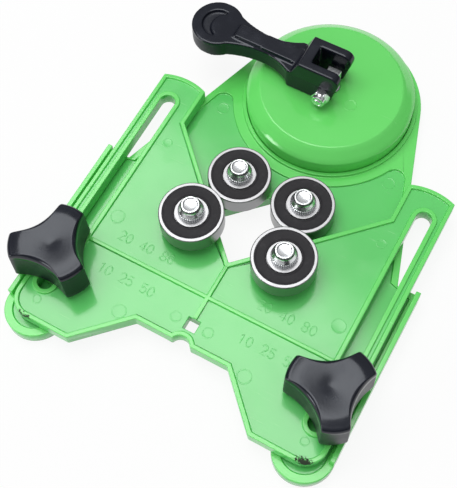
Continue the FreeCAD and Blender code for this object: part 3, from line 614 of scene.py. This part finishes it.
def knob_outline(angle):
    """Radius of the knob's outline by angle from the middle of a lobe.

    A waist circle that stands D away and has the radius R is met at D cos f minus the root of R squared less
    (D sin f) squared, with f measured from the waist. The soft minimum of that and the lobe's end is minus k
    times the logarithm of the sum of exp(-r / k).
    """
    step = 2 * np.pi / LOBES
    bearing_of_waist = angle % step - step / 2
    stands = WAIST + WAIST_ROUND
    inside = WAIST_ROUND ** 2 - (stands * np.sin(bearing_of_waist)) ** 2
    hollow = np.where(inside > 0, stands * np.cos(bearing_of_waist) - np.sqrt(np.maximum(inside, 0)), stands)
    return -BLUNT * np.log(np.exp(-hollow / BLUNT) + np.exp(-LOBE_END / BLUNT))


def top_height(radius):
    """Height of the knob's top at a radius.

    With s the radius as a share of the crest's, the top falls short by the dish's depth times (1 - s squared)
    squared inside the crest. Outside it falls by the outer fall times the way to the lobe's end to the power
    1.4. The dimple takes away its depth times exp(-(r / its radius) squared).
    """
    inside = DISH * np.maximum(1 - (radius / CREST) ** 2, 0) ** 2
    outside = FALL * (np.maximum(radius - CREST, 0) / (LOBE_END - CREST)) ** 1.4
    return KNOB_TOP - inside - outside - DIMPLE * np.exp(-(radius / DIMPLE_ROUND) ** 2)


def knob(start):
    """Rows that go out from the bush hole, up the side, round the edge and down the dish.

    The side's radius is the outline's times 1 less the lean's share of the height, and a little less at its
    foot. The edge's is the brim's plus the edge's width times cos b, at a height that goes up with sin b.
    """
    angle = around(240)[None]
    outline = knob_outline(angle - start)
    bend = np.linspace(0, np.pi / 2, 9)[1:, None]
    side = np.array([0.0, 0.15, *np.linspace(0.7, EDGE_LOW, 7)])[:, None]
    wall = outline * np.where(side < 0.5, FOOT_SHARE + side / 6, 1 - LEAN * side / KNOB_TOP)
    brim = wall[-1:] - EDGE_WIDE
    edge = EDGE_LOW + (top_height(brim) - EDGE_LOW) * np.sin(bend)
    inner = brim * np.linspace(1, 0.001, 30)[1:, None]
    rows = [(wall, side), (brim + EDGE_WIDE * np.cos(bend), edge), (inner, top_height(inner))]
    shell = np.concatenate([ringed(radius, height, angle) for radius, height in rows])
    hole = turned([(CORE, BUSH_TOP), (BUSH_ROUND, BUSH_TOP), (BUSH_ROUND, 0)], 240)
    return skin(np.concatenate([hole, shell]))


for side_name, start in KNOB_TURNS.items():
    low, high = span(f"knob_insert_{side_name}")
    middle = (low + high) / 2
    stand_in(f"knob_{side_name}", [knob(math.radians(start))], (middle[0], middle[1], low[2]), 40)

# %% [markdown]
# ## The suction cup
# The cup is soft rubber. Under the dome it hides, but from below it shows a thin rolled lip and a few
# ridges that help it to seal. Again it is one turned profile, closed round the foot of the pull stem.

# %% Suction cup
CUP_PROFILE = [
    (CORE, 3.3), (7.0, 3.3), (9.0, 3.15), (13.0, 2.95), (13.4, 2.7), (13.8, 2.85), (18.0, 2.4), (18.4, 2.15),
    (18.8, 2.3), (23.0, 1.85), (23.4, 1.6), (23.8, 1.75), (25.6, 1.42), (27.05, 1.32), (27.05, 2.1),
    (25.4, 2.5), (16.0, 4.1), (8.0, 5.6), (8.0, 9.75), (3.03, 9.75), (3.03, 8.23), (5.03, 8.23), (5.03, 6.17),
    (CORE, 6.17),
]
stand_in("suction_cup", [skin(turned(eased(CUP_PROFILE, 0.4), 128))], (0, 0, 0), 35)

# %% [markdown]
# ## The pivot's nut and bolt
# The lever turns on a small bolt with a lock nut. The nut is a hexagon cut back by cones and ends in a
# round collar, and the bolt's end carries a thread: a radius that rises and falls with height and winds
# once round for each pitch.

# %% Lock nut
HEX, NUT_ACROSS, NUT_BORE = 6, 5.5, 1.52
NUT_LOW, NUT_HIGH = span("pivot_nut")
PIVOT = (NUT_LOW + NUT_HIGH) / 2 * (1, 0, 1)


def laid_over(patch):
    """Turns a piece's upright axis to lie along -y: (x, y, z) goes to (x, -z, y)."""
    spots, blocks = patch
    return spots @ np.array([[1, 0, 0], [0, 0, 1], [0, -1, 0]]), blocks


def six_flats(angle):
    """Radius of a hexagon by angle, for a distance of 1 from its middle to its flats."""
    step = 2 * np.pi / HEX
    return 1 / np.cos(angle % step - step / 2)


def lock_nut(across, bore, low, high):
    """Radius of a hexagon, but never more than a turned profile allows at each row."""
    rows = np.array([
        (2.75, low), (3.0, low + 0.18), (3.3, low + 0.42), (3.3, low + 2.2), (3.0, low + 2.45),
        (2.7, low + 2.6), (2.48, low + 2.72), (2.45, low + 2.9), (2.45, high - 0.4), (2.3, high - 0.12),
        (2.0, high),
    ])
    angle = around(96)[None]
    shell = ringed(np.minimum(six_flats(angle) * across / 2, rows[:, :1]), rows[:, 1:], angle)
    hole = turned([(bore + 0.25, high), (bore, high - 0.25), (bore, low + 0.25), (bore + 0.25, low)])
    return skin(np.concatenate([shell, hole]), loop=True)


stand_in("pivot_nut", [laid_over(lock_nut(NUT_ACROSS, NUT_BORE, -NUT_HIGH[1], -NUT_LOW[1]))], PIVOT, 25)

# %% Bolt
PITCH, THREAD_DEEP, THREAD_LONG = 0.5, 0.2, 3.6
SHANK, HEAD_HIGH = 1.5, 2.4
BOLT_LOW, BOLT_HIGH = span("pivot_bolt")


def threaded_bolt(head_low, head_high, end):
    """Round head, plain shank and a thread.

    The thread's radius is the shank's less its depth times a zigzag, which runs once for each pitch of height
    and once for each turn.
    """
    head = eased([
        (CORE, head_low), (1.2, head_low), (2.45, head_low + 0.35), (2.7, head_low + 1.0), (2.7, head_high),
        (SHANK, head_high),
    ], 0.25)
    thread_from = end - THREAD_LONG
    heights = np.linspace(thread_from, end - 0.3, 72)
    angle = around(64)[None]
    wave = np.abs(((heights[:, None] / PITCH - angle / (2 * np.pi)) % 1) * 2 - 1)
    rise = np.clip((heights - thread_from) / PITCH, 0, 1)[:, None]
    thread = ringed(SHANK - THREAD_DEEP * wave * rise, heights[:, None], angle)
    tip = turned([(1.25, end - 0.08), (1.1, end), (CORE, end)], 64)
    return skin(np.concatenate([turned(head, 64), thread, tip]))


head_at = -BOLT_HIGH[1]
stand_in("pivot_bolt", [laid_over(threaded_bolt(head_at, head_at + HEAD_HIGH, -BOLT_LOW[1]))], PIVOT, 45)

# %% [markdown]
# ## Marks of the mould
# The panels carry raised figures and the round prints of the pins that pushed the moulding out. A figure is
# a bead carried along a path: at each point a half circle stands across the path's direction. The figures
# are a plain scale.


# %% Strokes of the figures
def arc(middle, size, start, end, steps=20):
    """Points of part of an ellipse: middle plus size times (cos a, sin a), with a in degrees."""
    angle = np.radians(np.linspace(start, end, steps))
    return np.stack([middle[0] + size[0] * np.cos(angle), middle[1] + size[1] * np.sin(angle)], axis=-1)


FIGURES = {
    "0": [arc((0.3, 0.5), (0.28, 0.5), 0, 342, 30)],
    "1": [np.array([(0.14, 0.8), (0.34, 1.0), (0.34, 0.0)])],
    "2": [np.vstack([arc((0.3, 0.72), (0.27, 0.28), 165, -35), [(0.03, 0.0), (0.6, 0.0)]])],
    "4": [np.array([(0.45, 0.0), (0.45, 1.0), (0.0, 0.3), (0.62, 0.3)])],
    "5": [np.vstack([[(0.54, 1.0), (0.1, 1.0), (0.06, 0.54)], arc((0.29, 0.32), (0.29, 0.32), 120, -150)])],
    "8": [arc((0.3, 0.75), (0.24, 0.25), -90, 252, 26), arc((0.3, 0.25), (0.29, 0.25), 90, 432, 26)],
}
print("strokes for the figures", ", ".join(FIGURES))

# %% Beads and pin prints
BEAD_HALF, BEAD_HIGH, BEAD_SUNK, FIGURE_HIGH, FIGURE_STEP = 0.24, 0.1, 0.04, 3.4, 2.7
PRINT_HIGH, PRINT_FLOOR = 0.07, 0.03


def bead(path):
    """Half circles (w cos b, h sin b) across a flat path, sunk a little at their feet."""
    along = np.gradient(path, axis=0)
    along /= np.linalg.norm(along, axis=1, keepdims=True)
    across = np.stack([-along[:, 1], along[:, 0]], axis=-1)
    bend = np.linspace(0, np.pi, 7)
    flat = path[:, None] + across[:, None] * (BEAD_HALF * np.cos(bend))[None, :, None]
    rise = np.broadcast_to(BEAD_HIGH * np.sin(bend) - BEAD_SUNK, flat.shape[:2])
    return skin(np.concatenate([flat, rise[..., None]], axis=-1))


def moved(patch, offset):
    """A patch shifted by an offset."""
    spots, blocks = patch
    return spots + np.asarray(offset, float), blocks


def figures(text, x, y, level):
    """Beads for a row of figures that starts at a place on a panel."""
    made = []
    for index, letter in enumerate(text):
        for path in FIGURES.get(letter, []):
            made.append(moved(bead(path * FIGURE_HIGH), (x + index * FIGURE_STEP, y, level)))
    return made


def pin_print(x, y, level, radius):
    """A low round step: a turned profile that rises to a rim and has a slightly lower floor."""
    profile = eased([
        (radius, -0.05), (radius - 0.06, PRINT_HIGH), (radius - 0.35, PRINT_HIGH),
        (radius - 0.45, PRINT_FLOOR), (CORE, PRINT_FLOOR),
    ], 0.05)
    return moved(skin(turned(profile, 48)), (x, y, level))


print("a pin print has", len(pin_print(0, 0, 0, 2.0)[0]), "points")

# %% Put the marks on
ROW_STARTS = (-37.5, 15.5)
ROWS = (("20 40 80", -85.0), ("10 25 50", -98.2))
SLIDE_PINS = ((6.0, -100.0, 2.0), (23.2, -107.3, 2.6), (49.3, -116.5, 1.6), (41.8, -78.0, 2.6),
              (41.5, -44.9, 1.8))
FOOT_PIN = 2.4
BOTH_SIDES = (-1, 1)

marks = [patch for x in ROW_STARTS for text, y in ROWS for patch in figures(text, x, y, SLIDE_FLOOR)]
marks += [pin_print(side * x, y, SLIDE_FLOOR, radius) for x, y, radius in SLIDE_PINS for side in BOTH_SIDES]
make_piece("slide_marks", marks, (0, 0, 0), "slide", GREENS["slide_plate"], 50)
DOME_TOP = span("suction_housing")[1][2]
foot_marks = [pin_print(9.4, -4.2, DOME_TOP, FOOT_PIN)]
foot_marks += [pin_print(side * 33.1, -20.2, BASE_FLOOR, FOOT_PIN) for side in BOTH_SIDES]
make_piece("foot_marks", foot_marks, (0, 0, 0), "base", GREENS["base_plate"], 50)
print("marked the panels with", len(marks) + len(foot_marks), "beads and prints")
